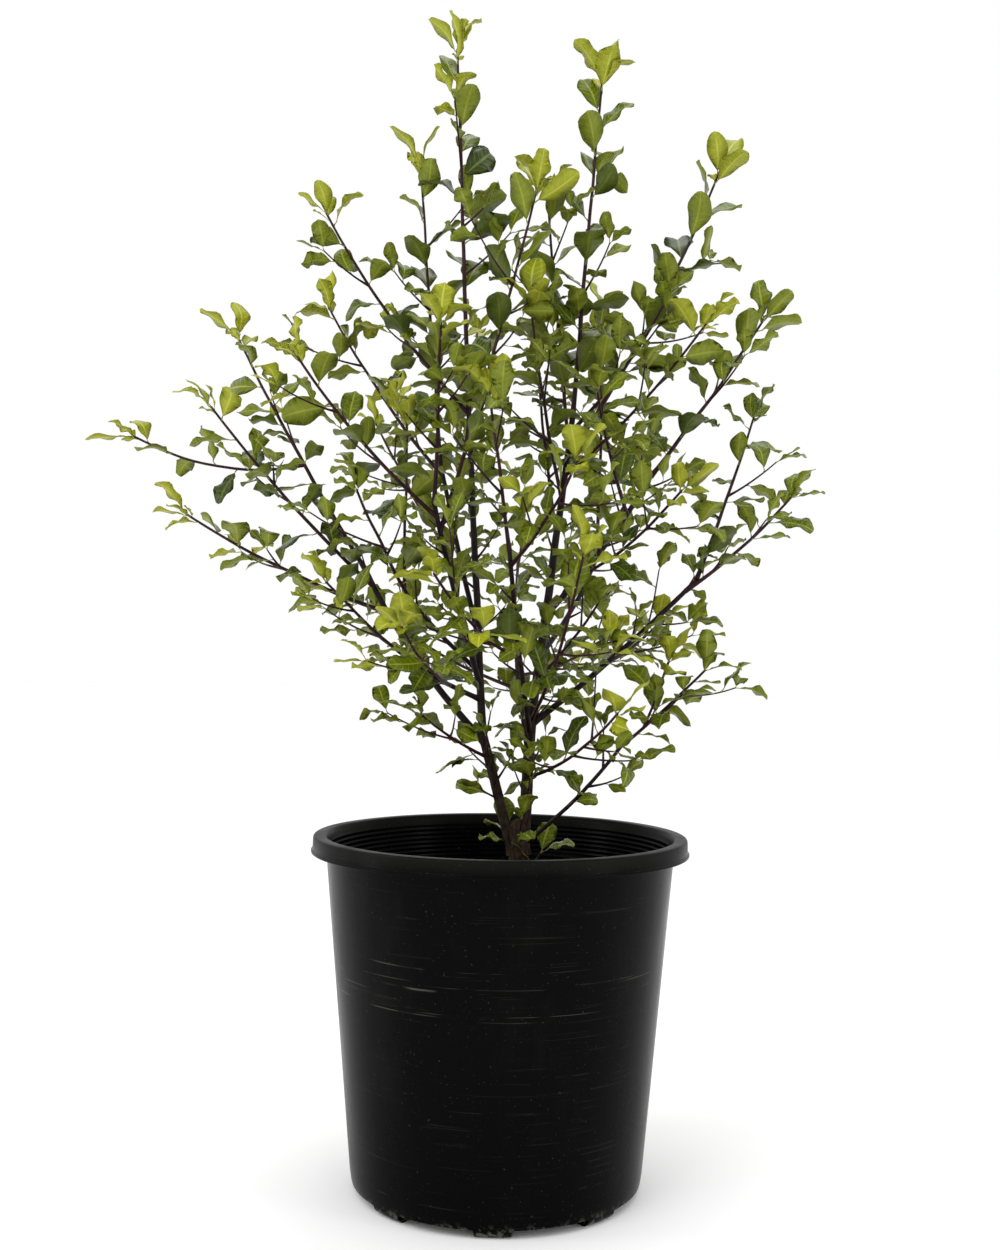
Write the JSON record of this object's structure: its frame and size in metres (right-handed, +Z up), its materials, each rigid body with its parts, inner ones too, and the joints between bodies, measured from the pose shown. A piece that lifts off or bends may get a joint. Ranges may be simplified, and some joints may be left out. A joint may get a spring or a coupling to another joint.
{
  "type": "potted pittosporum",
  "caption": "Young open pittosporum shrub with upright dark stems and small wavy-edged green leaves, growing in a round black nursery pot that stands on its flat base.",
  "frame": {"origin": "middle of the pot's flat underside", "axes": "+Z up along the pot's axis; the picture is seen along +Y, with +X to its right"},
  "size_m": [0.6455, 0.5259, 1.0311],
  "materials": {
    "pot_plastic": "black moulded polypropylene, satin gloss with fine scuffs and dust",
    "potting_mix": "dark crumbly composted bark",
    "bark": "rough dark brown bark",
    "shoot_bark": "smooth purple-black young bark",
    "leaves": "glossy mid green, pale yellow-green at the shoot tips"
  },
  "bodies": {
    "root": {"pot": "pot_plastic", "potting_mix": "potting_mix", "trunk": "bark", "left_stem": "bark", "right_stem": "bark", "bough_left_leader": "shoot_bark", "bough_right_leader": "shoot_bark", "bough_left_outer": "shoot_bark", "bough_left_low": "shoot_bark", "bough_left_middle": "shoot_bark", "bough_left_front": "shoot_bark", "bough_left_back": "shoot_bark", "bough_right_big": "shoot_bark", "bough_right_long": "shoot_bark", "bough_right_low": "shoot_bark", "bough_front": "shoot_bark", "bough_back_left": "shoot_bark", "bough_back_right": "shoot_bark", "bough_back": "shoot_bark", "leaves_left_leader": "leaves", "leaves_right_leader": "leaves", "leaves_right_upper": "leaves", "leaves_right_inner": "leaves", "leaves_right_thin": "leaves", "leaves_centre_back": "leaves", "leaves_centre": "leaves", "leaves_centre_low": "leaves", "leaves_right_big": "leaves", "leaves_right_middle": "leaves", "leaves_right_front": "leaves", "leaves_right_mid": "leaves", "leaves_right_long": "leaves", "leaves_right_under": "leaves", "leaves_right_low": "leaves", "leaves_front_low": "leaves", "leaves_low_right": "leaves", "leaves_low_left": "leaves", "leaves_front_right": "leaves", "leaves_front": "leaves", "leaves_front_side": "leaves", "leaves_front_left": "leaves", "leaves_left_outer": "leaves", "leaves_left_lower": "leaves", "leaves_left_long": "leaves", "leaves_left_low": "leaves", "leaves_left_pale": "leaves", "leaves_left_middle": "leaves", "leaves_left_front": "leaves", "leaves_left_side": "leaves", "leaves_centre_front": "leaves", "leaves_left_back": "leaves", "leaves_left_high": "leaves", "leaves_left_upper": "leaves", "leaves_back_left": "leaves", "leaves_back_left_high": "leaves", "leaves_back_right": "leaves", "leaves_back_right_high": "leaves", "leaves_back": "leaves", "leaves_back_low_left": "leaves", "leaves_back_low_right": "leaves"}
  },
  "joints": []
}
